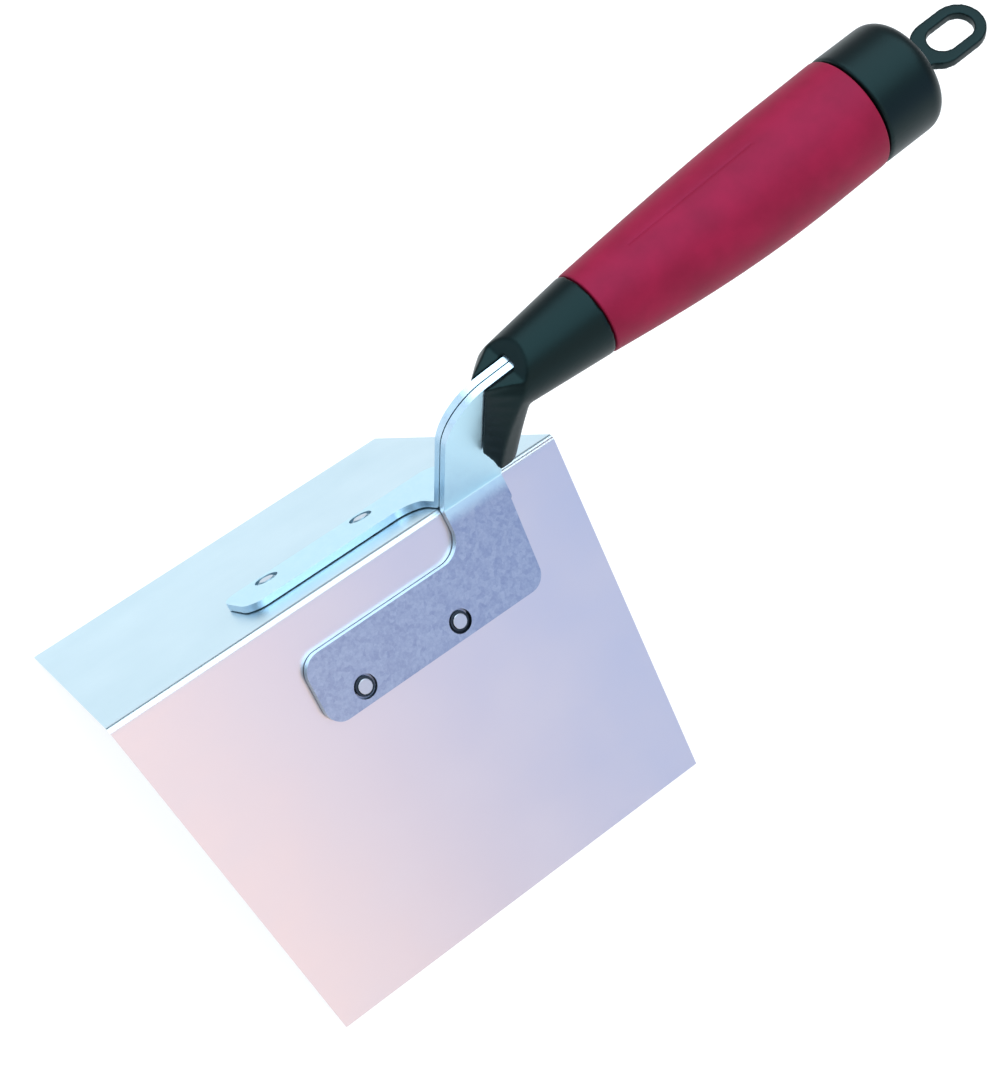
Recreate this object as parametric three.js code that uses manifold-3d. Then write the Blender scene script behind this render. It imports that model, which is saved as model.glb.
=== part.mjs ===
// Corner trowel: a folded stainless blade, a riveted two-part steel bracket on the
// ridge side of the fold, and a moulded handle with a soft grip, an end cap and a hang loop.
// Millimetres, +Z up. While the pieces are made, the fold's theoretical sharp ridge is the
// X axis and its handle end is at X = 0. The last lines set the finished tool down on z = 0.

import * as THREE from 'three';
import { mergeVertices } from 'three/addons/utils/BufferGeometryUtils.js';
import Module from 'manifold-3d';

const wasm = await Module();
wasm.setup();

// ---- Driving dimensions -------------------------------------------------------------

const GAP = 0.3; // between pieces that touch
const REACH = 200; // of a cutter that passes right through the tool
const OVERRUN = 1; // how far a cutter or a blank runs past what it shapes

// Fineness of curved surfaces
const ARC_STEPS = 10;
const CORNER_STEPS = 5;
const TURN_STEPS = 48;
const ROD_STEPS = 24;
const GRIP_STEPS = 14;
const SPINDLE_STEPS = 8;
const LOOP_STEPS = 14;
const MERGE_DISTANCE = 1e-4;

// Blade: one sheet, folded along its middle
const FOLD_LENGTH = 127;
const FLANGE_WIDTH = 92;
const FOLD_ANGLE = THREE.MathUtils.degToRad(88);
const BLADE_THICKNESS = 0.6;
const BLADE_BEND_RADIUS = 0.9; // inside of the bend
const FRONT_SLOPE = 14; // how far the outer corner lies behind the fold's front end
const REAR_SLOPE = 3.7;

// Handle axis, in the mirror plane
const AXIS_HEIGHT = 37.3; // above the fold's rear end
const AXIS_RISE = THREE.MathUtils.degToRad(9);

// Bracket: two mirrored stampings, back to back in the mirror plane
const BRACKET_THICKNESS = 1.7;
const BRACKET_BEND_RADIUS = 1;
const WEB_FRONT_X = -34.4;
const WEB_REAR_X = -17.2;
const WEB_CORNER_RADIUS = 14;
const TANG_HEIGHT = 9.2;
const TANG_END = 52; // along the handle axis, from X = 0
const TANG_FILLET = 7;
const LEG_FRONT_X = -82.3;
const LEG_REAR_X = -19;
const LEG_INNER_V = 11.6; // distance from the fold along the flange
const LEG_OUTER_V = 29.3;
const LEG_TOE_RADIUS = 5;
const LEG_HEEL_RADIUS = 4.5;
const LEG_THROAT_RADIUS = 6.2;

// Rivets through leg and blade
const RIVET_X = [-71, -43.1];
const RIVET_V = 25;
const RIVET_RADIUS = 1.85;
const RIVET_COLLAR_RADIUS = 2.45;
const RIVET_COLLAR_THICKNESS = 0.5;
const RIVET_HEAD_RADIUS = 3.6;
const RIVET_HEAD_THICKNESS = 0.7;
const RECESS_RADIUS = 3;
const RECESS_DEPTH = 1.2;
const SHANK_CLEARANCE = 0.3;

// Handle: radii and stations along its axis
const FERRULE_REAR_RADIUS = 10.5;
const FERRULE_TAPER = 0.104; // radius lost per millimetre toward the front
const GRIP_START = 7.7;
const GRIP_END = 88.3;
const GRIP_RADIUS = 14.6;
const GRIP_SWELL_END = 0.8; // share of the grip's length over which it thickens
const GRIP_BELLY = 1.3; // how far the middle of the grip sags toward the fingers
const GRIP_WALL = 3.4;
const FERRULE_FORWARD = 30; // how far the barrel is made ahead of the grip before it is cut
const CAP_END = 107.3;
const CAP_CORNER_RADIUS = 4.8;
const STUB_RADIUS = 6.5;
const STUB_LENGTH = 13;
const PIN_RADIUS = 1.6;
const PIN_STATIONS = [20, 40];

// Neck: the handle core's tongue that reaches down round the web
const NECK_BOTTOM = 12.5; // lowest edges, above the fold
const NECK_ROOF_SLOPE = 0.55; // the bottom rises toward the web
const NECK_NOSE_X = -23.9;
const NOSE_MARGIN = 0.35; // flat of the nose beside the web
const NECK_HALF_WIDTH = 7.3; // at the bottom
const RIM_BOTTOM_X = -22.4;
const RIM_KNEE = [-21.3, 26.2];
const RIM_SHELF_X = -15.8; // where the rim meets the plane of the tang's upper edge
const CREST_LEAN = 0.7; // rearward lean of the front face above the shelf
const NECK_DEPTH = 6.4; // front to back, at the bottom
const NECK_REAR_LEAN = 0.16; // the rear face leans back as it rises
const NECK_REAR_RADIUS = 3.4;
const NECK_LEVELS = 8;

// Hang loop, moulded with the cap
const LOOP_START = 111; // stations of the oval's ends
const LOOP_END = 131;
const LOOP_WIDTH = 13.4;
const LOOP_WALL = 2.9;
const LOOP_NEAR_WALL = 4.4;
const LOOP_THICKNESS = 2.6;
const LOOP_STEM_WIDTH = 8;
const LOOP_ROOT = 1.5; // overlap into the cap

// ---- Derived directions -------------------------------------------------------------

const HALF_ANGLE = FOLD_ANGLE / 2;
const SIN_A = Math.sin(HALF_ANGLE);
const COS_A = Math.cos(HALF_ANGLE);
const ALONG_X = new THREE.Vector3(1, 0, 0);
const ALONG_Y = new THREE.Vector3(0, 1, 0);
const ALONG_Z = new THREE.Vector3(0, 0, 1);
const DOWN_FLANGE = new THREE.Vector3(0, SIN_A, -COS_A); // right flange, away from the fold
const OFF_FLANGE = new THREE.Vector3(0, COS_A, SIN_A); // right flange, outward normal
const HANDLE_DIR = new THREE.Vector3(Math.cos(AXIS_RISE), 0, Math.sin(AXIS_RISE));
const HANDLE_UP = new THREE.Vector3(-Math.sin(AXIS_RISE), 0, Math.cos(AXIS_RISE));
const LEG_TOP = GAP + BRACKET_THICKNESS; // height of the leg's outer face over the blade
const WEB_OUTER_Y = GAP / 2 + BRACKET_THICKNESS;

// ---- Helpers ------------------------------------------------------------------------

// A closed three.js geometry as a manifold solid.
function solidOf(geometry) {
  const bare = geometry.clone();
  bare.deleteAttribute('normal');
  bare.deleteAttribute('uv');
  const merged = mergeVertices(bare, MERGE_DISTANCE);
  const vertProperties = new Float32Array(merged.attributes.position.array);
  const triVerts = new Uint32Array(merged.index.array);
  return new wasm.Manifold(new wasm.Mesh({ numProp: 3, vertProperties, triVerts }));
}

// A manifold solid as a three.js geometry.
function geometryOf(solid) {
  const data = solid.getMesh();
  const geometry = new THREE.BufferGeometry();
  geometry.setAttribute('position', new THREE.BufferAttribute(data.vertProperties, 3));
  geometry.setIndex(new THREE.BufferAttribute(data.triVerts, 1));
  geometry.computeVertexNormals();
  return geometry;
}

// An outline swept along the third of three axes, from one distance to another.
function prism(shape, axes, from, to, curveSegments = ARC_STEPS) {
  const depth = to - from;
  const geometry = new THREE.ExtrudeGeometry(shape, { depth, bevelEnabled: false, curveSegments });
  geometry.translate(0, 0, from);
  geometry.applyMatrix4(new THREE.Matrix4().makeBasis(...axes));
  return solidOf(geometry);
}

// Side view (X, Z) swept across the tool. The third axis is -Y.
function sidePrism(shape, from, to) {
  const axes = [ALONG_X, ALONG_Z, ALONG_Y.clone().negate()];
  return prism(shape, axes, -to, -from);
}

// Front view (Y, Z) swept along the fold.
function frontPrism(shape, from, to) {
  return prism(shape, [ALONG_Y, ALONG_Z, ALONG_X], from, to);
}

// Plan of the right flange (X, distance from the fold), swept off the flange.
function flangePrism(shape, from, to) {
  return prism(shape, [ALONG_X, DOWN_FLANGE, OFF_FLANGE], from, to);
}

// The same solid on the other side of the mirror plane.
function mirrored(solid) {
  const geometry = geometryOf(solid);
  geometry.applyMatrix4(new THREE.Matrix4().makeScale(1, -1, 1));
  const index = geometry.index.array;
  for (let i = 0; i < index.length; i += 3) {
    const swap = index[i + 1];
    index[i + 1] = index[i + 2];
    index[i + 2] = swap;
  }
  return solidOf(geometry);
}

// A point at a distance along the handle axis and a height above it, as [x, z].
function axisPoint(station, height = 0) {
  const x = station * HANDLE_DIR.x + height * HANDLE_UP.x;
  const z = AXIS_HEIGHT + station * HANDLE_DIR.z + height * HANDLE_UP.z;
  return [x, z];
}

// Height of the line that runs parallel to the handle axis, at a given X.
function axisLineZ(x, height) {
  return AXIS_HEIGHT + height / Math.cos(AXIS_RISE) + x * Math.tan(AXIS_RISE);
}

// A profile of [radius, station] points turned about the handle axis. Each point can then be
// moved by a function of the point and its station.
function turned(profile, move = null) {
  const points = profile.map(([radius, station]) => new THREE.Vector2(radius, station));
  const geometry = new THREE.LatheGeometry(points, TURN_STEPS);
  const position = geometry.attributes.position;
  const heights = Array.from({ length: position.count }, (_, i) => position.getY(i));
  const across = new THREE.Vector3().crossVectors(HANDLE_UP, HANDLE_DIR);
  geometry.applyMatrix4(new THREE.Matrix4().makeBasis(HANDLE_UP, HANDLE_DIR, across));
  geometry.translate(0, 0, AXIS_HEIGHT);
  if (move) {
    const point = new THREE.Vector3();
    heights.forEach((station, i) => {
      move(point.fromBufferAttribute(position, i), station);
      position.setXYZ(i, point.x, point.y, point.z);
    });
  }
  return solidOf(geometry);
}

// A cylinder between two points.
function rod(radius, start, end) {
  const axis = new THREE.Vector3().subVectors(end, start);
  const geometry = new THREE.CylinderGeometry(radius, radius, axis.length(), ROD_STEPS);
  const turn = new THREE.Quaternion().setFromUnitVectors(ALONG_Y, axis.clone().normalize());
  geometry.applyQuaternion(turn);
  const middle = start.clone().add(end).multiplyScalar(0.5);
  geometry.translate(middle.x, middle.y, middle.z);
  return solidOf(geometry);
}

// A closed solid through a stack of outlines that have the same number of points.
function loft(rings) {
  const around = rings[0].length;
  const levels = rings.length - 1;
  const geometry = new THREE.CylinderGeometry(1, 1, levels, around, levels);
  const position = geometry.attributes.position;
  for (let i = 0; i < position.count; i += 1) {
    const level = Math.round(position.getY(i) + levels / 2);
    const ring = rings[level];
    const onAxis = Math.hypot(position.getX(i), position.getZ(i)) < 0.5;
    const angle = Math.atan2(position.getX(i), position.getZ(i));
    const step = (Math.round((angle / (2 * Math.PI)) * around) + around) % around;
    const middle = ring.reduce((sum, p) => sum.add(p), new THREE.Vector3()).divideScalar(around);
    const target = onAxis ? middle : ring[step];
    position.setXYZ(i, target.x, target.y, target.z);
  }
  return solidOf(geometry);
}

// ---- Blade --------------------------------------------------------------------------

// Section across the fold: two flanges joined by a bend.
function bladeSection() {
  const outer = BLADE_BEND_RADIUS + BLADE_THICKNESS;
  const centreZ = -outer / SIN_A;
  const tip = (side, height) => [
    side * (FLANGE_WIDTH * SIN_A + height * COS_A),
    -FLANGE_WIDTH * COS_A + height * SIN_A,
  ];
  const shape = new THREE.Shape();
  shape.moveTo(...tip(-1, -BLADE_THICKNESS));
  shape.lineTo(...tip(-1, 0));
  shape.absarc(0, centreZ, outer, Math.PI - HALF_ANGLE, HALF_ANGLE, true);
  shape.lineTo(...tip(1, 0));
  shape.lineTo(...tip(1, -BLADE_THICKNESS));
  shape.absarc(0, centreZ, BLADE_BEND_RADIUS, HALF_ANGLE, Math.PI - HALF_ANGLE, false);
  return shape;
}

// Side view of the blade, which gives both flanges their sloping ends.
function bladeSideView() {
  const drop = (FLANGE_WIDTH + BLADE_THICKNESS) * COS_A;
  const reach = drop + BLADE_THICKNESS;
  const share = reach / drop;
  const shape = new THREE.Shape();
  shape.moveTo(-FOLD_LENGTH, 0);
  shape.lineTo(-FOLD_LENGTH + FRONT_SLOPE * share, -reach);
  shape.lineTo(-REAR_SLOPE * share, -reach);
  shape.lineTo(0, 0);
  return shape;
}

function rivetAxisPoint(x, height) {
  const point = new THREE.Vector3(x, 0, 0);
  point.addScaledVector(DOWN_FLANGE, RIVET_V);
  return point.addScaledVector(OFF_FLANGE, height);
}

// A round cutter along a rivet's axis, on the right flange.
function rivetCutter(x, radius, from, to) {
  return rod(radius, rivetAxisPoint(x, from), rivetAxisPoint(x, to));
}

function makeBlade() {
  const sheet = frontPrism(bladeSection(), -FOLD_LENGTH, 0);
  let blade = sheet.intersect(sidePrism(bladeSideView(), -REACH, REACH));
  for (const x of RIVET_X) {
    const hole = rivetCutter(x, RIVET_RADIUS + SHANK_CLEARANCE, -2 * BLADE_THICKNESS, GAP);
    blade = blade.subtract(hole).subtract(mirrored(hole));
  }
  return blade;
}

// ---- Bracket ------------------------------------------------------------------------

// Section of the right stamping: web, bend and leg.
function bracketSection() {
  const inner = BRACKET_BEND_RADIUS;
  const outer = inner + BRACKET_THICKNESS;
  const centreY = WEB_OUTER_Y + inner;
  const centreZ = (LEG_TOP + inner - centreY * COS_A) / SIN_A;
  const top = axisPoint(TANG_END, TANG_HEIGHT)[1];
  const end = LEG_OUTER_V + OVERRUN;
  const tip = (height) => [end * SIN_A + height * COS_A, -end * COS_A + height * SIN_A];
  const shape = new THREE.Shape();
  shape.moveTo(WEB_OUTER_Y, top);
  shape.lineTo(GAP / 2, top);
  shape.absarc(centreY, centreZ, outer, Math.PI, Math.PI + HALF_ANGLE, false);
  shape.lineTo(...tip(GAP));
  shape.lineTo(...tip(LEG_TOP));
  shape.absarc(centreY, centreZ, inner, Math.PI + HALF_ANGLE, Math.PI, true);
  return shape;
}

// Side view of web and tang.
function webSideView() {
  const half = TANG_HEIGHT / 2;
  const cornerX = WEB_FRONT_X + WEB_CORNER_RADIUS;
  const cornerZ = axisLineZ(cornerX, half - WEB_CORNER_RADIUS);
  const filletX = WEB_REAR_X + TANG_FILLET;
  const filletZ = axisLineZ(filletX, -half - TANG_FILLET);
  const crest = Math.PI / 2 + AXIS_RISE;
  const foot = -(LEG_INNER_V / 2) * COS_A;
  const shape = new THREE.Shape();
  shape.moveTo(WEB_FRONT_X, foot);
  shape.lineTo(WEB_REAR_X, foot);
  shape.absarc(filletX, filletZ, TANG_FILLET, Math.PI, crest, true);
  shape.lineTo(...axisPoint(TANG_END, -half));
  shape.lineTo(...axisPoint(TANG_END, half));
  shape.absarc(cornerX, cornerZ, WEB_CORNER_RADIUS, crest, Math.PI, false);
  return shape;
}

// Plan of one leg, with the root that joins it to the web.
function legPlan() {
  const throatX = WEB_FRONT_X - LEG_THROAT_RADIUS;
  const throatV = LEG_INNER_V - LEG_THROAT_RADIUS;
  const toe = LEG_TOE_RADIUS;
  const heel = LEG_HEEL_RADIUS;
  const half = Math.PI / 2;
  const shape = new THREE.Shape();
  shape.moveTo(WEB_REAR_X, 0);
  shape.lineTo(WEB_FRONT_X, 0);
  shape.absarc(throatX, throatV, LEG_THROAT_RADIUS, 0, half, false);
  shape.absarc(LEG_FRONT_X + toe, LEG_INNER_V + toe, toe, -half, -Math.PI, true);
  shape.absarc(LEG_FRONT_X + heel, LEG_OUTER_V - heel, heel, Math.PI, half, true);
  shape.absarc(LEG_REAR_X - heel, LEG_OUTER_V - heel, heel, half, 0, true);
  return shape;
}

function makeBracketHalf() {
  const bent = frontPrism(bracketSection(), LEG_FRONT_X - OVERRUN, TANG_END + OVERRUN);
  const web = sidePrism(webSideView(), 0, WEB_OUTER_Y + (LEG_INNER_V / 2) * SIN_A);
  const leg = flangePrism(legPlan(), -OVERRUN, LEG_TOP + OVERRUN);
  let half = bent.intersect(web.add(leg));
  for (const x of RIVET_X) {
    const above = LEG_TOP + OVERRUN;
    half = half.subtract(rivetCutter(x, RIVET_RADIUS + SHANK_CLEARANCE, 0, above));
    half = half.subtract(rivetCutter(x, RECESS_RADIUS, LEG_TOP - RECESS_DEPTH, above));
  }
  for (const station of PIN_STATIONS) {
    half = half.subtract(pinCutter(station));
  }
  return half;
}

// ---- Rivets and pins ----------------------------------------------------------------

// Flat head under the blade, shank, and an upset collar in the leg's recess.
function makeRivet(x) {
  const under = -BLADE_THICKNESS - GAP;
  const collar = LEG_TOP - RECESS_DEPTH + GAP;
  const parts = [
    rivetCutter(x, RIVET_HEAD_RADIUS, under - RIVET_HEAD_THICKNESS, under),
    rivetCutter(x, RIVET_COLLAR_RADIUS, collar, collar + RIVET_COLLAR_THICKNESS),
  ];
  let rivet = rivetCutter(x, RIVET_RADIUS, under - RIVET_HEAD_THICKNESS / 2, LEG_TOP);
  for (const part of parts) {
    rivet = rivet.add(part);
  }
  return rivet;
}

function crossRod(station, radius, halfLength) {
  const [x, z] = axisPoint(station);
  const start = new THREE.Vector3(x, -halfLength, z);
  const end = new THREE.Vector3(x, halfLength, z);
  return rod(radius, start, end);
}

function pinCutter(station) {
  return crossRod(station, PIN_RADIUS + GAP, REACH);
}

function makePin(station) {
  return crossRod(station, PIN_RADIUS, sleeveBore(station) - 2 * GAP);
}

// ---- Handle -------------------------------------------------------------------------

// Share of the grip's length at a station of the handle axis.
function gripShare(station) {
  return (station - GRIP_START) / (GRIP_END - GRIP_START);
}

// Outer radius of the soft grip along the handle.
function gripRadius(station) {
  const swell = GRIP_RADIUS - FERRULE_REAR_RADIUS;
  const share = Math.min(gripShare(station) / GRIP_SWELL_END, 1);
  return FERRULE_REAR_RADIUS + swell * Math.sin((share * Math.PI) / 2);
}

// Radius of the grip's bore, which keeps an even wall.
function sleeveBore(station) {
  return gripRadius(station) - GRIP_WALL;
}

function stations(from, to, count) {
  return Array.from({ length: count + 1 }, (_, i) => from + ((to - from) * i) / count);
}

// Moves a point of the grip's outside toward the fingers.
function sag(point, station) {
  const wave = Math.sin(THREE.MathUtils.clamp(gripShare(station), 0, 1) * Math.PI);
  return point.addScaledVector(HANDLE_UP, -GRIP_BELLY * wave);
}

function makeGrip() {
  const along = stations(GRIP_START + GAP, GRIP_END - GAP, GRIP_STEPS);
  const outside = along.map((s) => [gripRadius(s), s]);
  const inside = stations(GRIP_START, GRIP_END, GRIP_STEPS).map((s) => [sleeveBore(s), s]);
  return turned(closedOnAxis(outside), sag).subtract(turned(closedOnAxis(inside)));
}

// A profile with its two ends brought to the axis.
function closedOnAxis(profile) {
  const first = profile[0];
  const last = profile[profile.length - 1];
  return [[0, first[1]], ...profile, [0, last[1]]];
}

// Front edge of the neck in side view, from its foot to the shelf.
function rimCurve() {
  const foot = new THREE.Vector2(RIM_BOTTOM_X, NECK_BOTTOM);
  const knee = new THREE.Vector2(...RIM_KNEE);
  const shelf = new THREE.Vector2(RIM_SHELF_X, axisLineZ(RIM_SHELF_X, TANG_HEIGHT / 2));
  return new THREE.QuadraticBezierCurve(foot, knee, shelf);
}

// Everything behind the rim and behind the leaning face above the shelf.
function behindRim() {
  const points = rimCurve().getPoints(ARC_STEPS);
  const last = points[points.length - 1];
  const rise = 2 * FERRULE_REAR_RADIUS;
  const shape = new THREE.Shape(points);
  shape.lineTo(last.x + CREST_LEAN * rise, last.y + rise);
  shape.lineTo(REACH, last.y + rise);
  shape.lineTo(REACH, NECK_BOTTOM);
  return sidePrism(shape, -REACH, REACH);
}

function ferruleRadius(station) {
  return FERRULE_REAR_RADIUS - FERRULE_TAPER * (GRIP_START - station);
}

// Half width of the neck at a point of its side view: straight sides, then the barrel's round.
function neckHalfWidth(x, z) {
  const station = x * HANDLE_DIR.x + (z - AXIS_HEIGHT) * HANDLE_DIR.z;
  const height = x * HANDLE_UP.x + (z - AXIS_HEIGHT) * HANDLE_UP.z;
  const radius = ferruleRadius(station);
  const share = THREE.MathUtils.smoothstep(z, NECK_BOTTOM, AXIS_HEIGHT - radius / 2);
  const side = THREE.MathUtils.lerp(NECK_HALF_WIDTH, radius, share);
  return Math.min(side, height > 0 ? Math.sqrt(radius ** 2 - height ** 2) : side);
}

// One horizontal section of the neck: nose, side edges and rounded rear corners.
function neckRing(t) {
  const rim = rimCurve().getPoint(t);
  const z = rim.y;
  const nose = WEB_OUTER_Y + NOSE_MARGIN;
  const half = neckHalfWidth(rim.x, z);
  const rear = RIM_BOTTOM_X + NECK_DEPTH + NECK_REAR_LEAN * (z - NECK_BOTTOM);
  const points = [new THREE.Vector3(NECK_NOSE_X, nose, z), new THREE.Vector3(rim.x, half, z)];
  for (let i = 0; i <= CORNER_STEPS; i += 1) {
    const angle = (1 - i / CORNER_STEPS) * (Math.PI / 2);
    const x = rear - NECK_REAR_RADIUS + NECK_REAR_RADIUS * Math.cos(angle);
    const y = half - NECK_REAR_RADIUS + NECK_REAR_RADIUS * Math.sin(angle);
    points.push(new THREE.Vector3(x, y, z));
  }
  const others = points.map((p) => new THREE.Vector3(p.x, -p.y, p.z)).reverse();
  return [...points, ...others].reverse();
}

// The neck, closed on top by the plane of the tang's upper edge.
function makeNeck() {
  const rings = Array.from({ length: NECK_LEVELS + 1 }, (_, i) => neckRing(i / NECK_LEVELS));
  for (const point of rings[NECK_LEVELS]) {
    point.z = axisLineZ(point.x, TANG_HEIGHT / 2);
  }
  return loft(rings).subtract(neckRoof());
}

// Cutter that lets the neck's bottom rise from its side edges toward the web.
function neckRoof() {
  const half = NECK_HALF_WIDTH + OVERRUN;
  const eaves = NECK_BOTTOM - (half - NECK_HALF_WIDTH) * NECK_ROOF_SLOPE;
  const shape = new THREE.Shape();
  shape.moveTo(-half, eaves);
  shape.lineTo(half, eaves);
  shape.lineTo(0, NECK_BOTTOM + NECK_HALF_WIDTH * NECK_ROOF_SLOPE);
  return frontPrism(shape, -REACH, 0);
}

// Turned body of the core: barrel, spindle under the grip, stub for the cap.
function makeSpindle() {
  const front = GRIP_START - FERRULE_FORWARD;
  const along = stations(GRIP_START, GRIP_END, SPINDLE_STEPS);
  const spindle = along.map((s) => [sleeveBore(s) - GAP, s]);
  const profile = [
    [0, front],
    [ferruleRadius(front), front],
    [FERRULE_REAR_RADIUS, GRIP_START],
    ...spindle,
    [STUB_RADIUS, GRIP_END],
    [STUB_RADIUS, GRIP_END + STUB_LENGTH],
    [0, GRIP_END + STUB_LENGTH],
  ];
  return turned(profile);
}

// Room for the web and tang, with its clearance.
function tangSlot() {
  const grown = GAP + WEB_OUTER_Y;
  const half = TANG_HEIGHT / 2 + GAP;
  const shape = new THREE.Shape();
  shape.moveTo(WEB_FRONT_X - OVERRUN, 0);
  shape.lineTo(WEB_REAR_X + GAP, 0);
  const filletX = WEB_REAR_X + TANG_FILLET;
  const filletZ = axisLineZ(filletX, -TANG_HEIGHT / 2 - TANG_FILLET);
  const crest = Math.PI / 2 + AXIS_RISE;
  shape.absarc(filletX, filletZ, TANG_FILLET - GAP, Math.PI, crest, true);
  shape.lineTo(...axisPoint(TANG_END + GAP, -half));
  shape.lineTo(...axisPoint(TANG_END + GAP, half));
  shape.lineTo(WEB_FRONT_X - OVERRUN, axisLineZ(WEB_FRONT_X - OVERRUN, half));
  return sidePrism(shape, -grown, grown);
}

function makeCore() {
  const barrel = makeSpindle().intersect(behindRim());
  let core = barrel.add(makeNeck()).subtract(tangSlot());
  for (const station of PIN_STATIONS) {
    core = core.subtract(pinCutter(station));
  }
  return core;
}

// Flat oval loop on a short stem, in the plane of the handle axis and the tool's width.
function makeLoop() {
  const quarter = Math.PI / 2;
  const radius = LOOP_WIDTH / 2;
  const near = LOOP_START + radius;
  const far = LOOP_END - radius;
  const hole = radius - LOOP_WALL;
  const stem = LOOP_STEM_WIDTH / 2;
  const stemAngle = Math.asin(stem / radius);
  const shape = new THREE.Shape();
  shape.moveTo(CAP_END - LOOP_ROOT, -stem);
  shape.lineTo(near - radius * Math.cos(stemAngle), -stem);
  shape.absarc(near, 0, radius, Math.PI + stemAngle, 3 * quarter, false);
  shape.absarc(far, 0, radius, -quarter, quarter, false);
  shape.absarc(near, 0, radius, quarter, Math.PI - stemAngle, false);
  shape.lineTo(CAP_END - LOOP_ROOT, stem);
  const eye = new THREE.Path();
  eye.absarc(far, 0, hole, -quarter, quarter, false);
  eye.absarc(LOOP_START + LOOP_NEAR_WALL + hole, 0, hole, quarter, 3 * quarter, false);
  shape.holes.push(eye);
  const depth = LOOP_THICKNESS;
  const axes = [HANDLE_DIR, ALONG_Y, HANDLE_UP];
  return prism(shape, axes, -depth / 2, depth / 2, LOOP_STEPS).translate([0, 0, AXIS_HEIGHT]);
}

function makeCap() {
  const r = gripRadius(GRIP_END);
  const corner = CAP_CORNER_RADIUS;
  const bore = STUB_RADIUS + GAP;
  const floor = GRIP_END + STUB_LENGTH + GAP;
  const profile = [[bore, GRIP_END + GAP], [r, GRIP_END + GAP]];
  for (let i = 0; i <= CORNER_STEPS; i += 1) {
    const angle = (i / CORNER_STEPS) * (Math.PI / 2);
    const radius = r - corner + corner * Math.cos(angle);
    profile.push([radius, CAP_END - corner + corner * Math.sin(angle)]);
  }
  profile.push([0, CAP_END], [0, floor], [bore, floor], [bore, GRIP_END + GAP]);
  return turned(profile).add(makeLoop());
}

// ---- Assembly -----------------------------------------------------------------------

const stainless = { color: 0xd9dce4, roughness: 0.22, metalness: 1 };
const galvanised = { color: 0xa9b7c6, roughness: 0.42, metalness: 1 };
const rivetSteel = { color: 0x9fb0bd, roughness: 0.4, metalness: 1 };
const blackPlastic = { color: 0x1b2628, roughness: 0.45, metalness: 0 };
const redRubber = { color: 0xa8284a, roughness: 0.7, metalness: 0 };

const tool = new THREE.Group();

function addPiece(name, solid, look) {
  const mesh = new THREE.Mesh(geometryOf(solid), new THREE.MeshStandardMaterial(look));
  mesh.name = name;
  tool.add(mesh);
}

addPiece('blade', makeBlade(), stainless);

const bracketHalf = makeBracketHalf();
addPiece('bracket_right', bracketHalf, galvanised);
addPiece('bracket_left', mirrored(bracketHalf), galvanised);

['front', 'rear'].forEach((place, i) => {
  const rivet = makeRivet(RIVET_X[i]);
  addPiece(`rivet_right_${place}`, rivet, rivetSteel);
  addPiece(`rivet_left_${place}`, mirrored(rivet), rivetSteel);
  addPiece(`tang_pin_${place}`, makePin(PIN_STATIONS[i]), rivetSteel);
});

addPiece('handle_core', makeCore(), blackPlastic);
addPiece('grip_sleeve', makeGrip(), redRubber);
addPiece('end_cap', makeCap(), blackPlastic);

// Stand the tool on its flange edges, over the middle of its length.
const box = new THREE.Box3().setFromObject(tool);
const assembly = new THREE.Group();
tool.position.set(-(box.min.x + box.max.x) / 2, 0, -box.min.z);
assembly.add(tool);

export default assembly;
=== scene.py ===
"""Corner trowel: folded stainless blade, riveted galvanised bracket, moulded handle.

Everything is in metres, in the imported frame: the tool stands on its flange edges at z = 0,
the fold runs along X with the blade's front at -X, and Y = 0 is the mirror plane.
"""

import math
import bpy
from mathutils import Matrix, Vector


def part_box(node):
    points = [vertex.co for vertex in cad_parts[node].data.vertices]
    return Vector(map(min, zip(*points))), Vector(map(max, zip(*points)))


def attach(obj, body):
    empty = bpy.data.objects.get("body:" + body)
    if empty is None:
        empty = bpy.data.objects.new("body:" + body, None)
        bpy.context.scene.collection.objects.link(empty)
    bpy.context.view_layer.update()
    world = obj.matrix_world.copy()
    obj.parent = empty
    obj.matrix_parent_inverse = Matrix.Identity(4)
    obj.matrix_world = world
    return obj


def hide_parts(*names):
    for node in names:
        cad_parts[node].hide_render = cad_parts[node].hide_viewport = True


bl_info = {
    "name": "Corner Trowel",
    "version": (1, 0, 0),
    "blender": (4, 5, 0),
    "location": "3D View > Sidebar > Trowel",
    "description": "Builds the pieces of a drywall corner trowel and its studio",
    "category": "Add Mesh",
}

import bpy
from mathutils import Matrix, Vector

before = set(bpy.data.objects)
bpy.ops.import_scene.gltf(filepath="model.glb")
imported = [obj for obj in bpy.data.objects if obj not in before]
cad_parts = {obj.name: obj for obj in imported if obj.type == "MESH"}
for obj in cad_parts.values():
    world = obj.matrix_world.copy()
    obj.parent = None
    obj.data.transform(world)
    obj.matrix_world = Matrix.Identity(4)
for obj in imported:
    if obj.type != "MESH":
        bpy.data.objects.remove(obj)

MM = 0.001


# ---- Where things lie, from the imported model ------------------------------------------

RISE = math.radians(9)
ALONG = Vector((math.cos(RISE), 0, math.sin(RISE)))  # along the handle, toward the loop
ABOVE = Vector((-math.sin(RISE), 0, math.cos(RISE)))  # square to it, away from the fold
SIDE = Vector((0, 1, 0))
OFF_FLANGE = math.radians(44)  # lean of a flange's outward normal above the horizontal
START_FORWARD = 0.04  # from the blade's rear end to the handle's station zero, in mm
START_ABOVE = 37.96  # from the top of the fold up to the handle's axis there, in mm


def handle_origin():
    """The point of the handle's axis from which its stations are counted, above the fold."""
    blade_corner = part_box("blade")[1]
    return Vector((blade_corner.x + START_FORWARD * MM, 0, blade_corner.z + START_ABOVE * MM))


ORIGIN = handle_origin()


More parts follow.
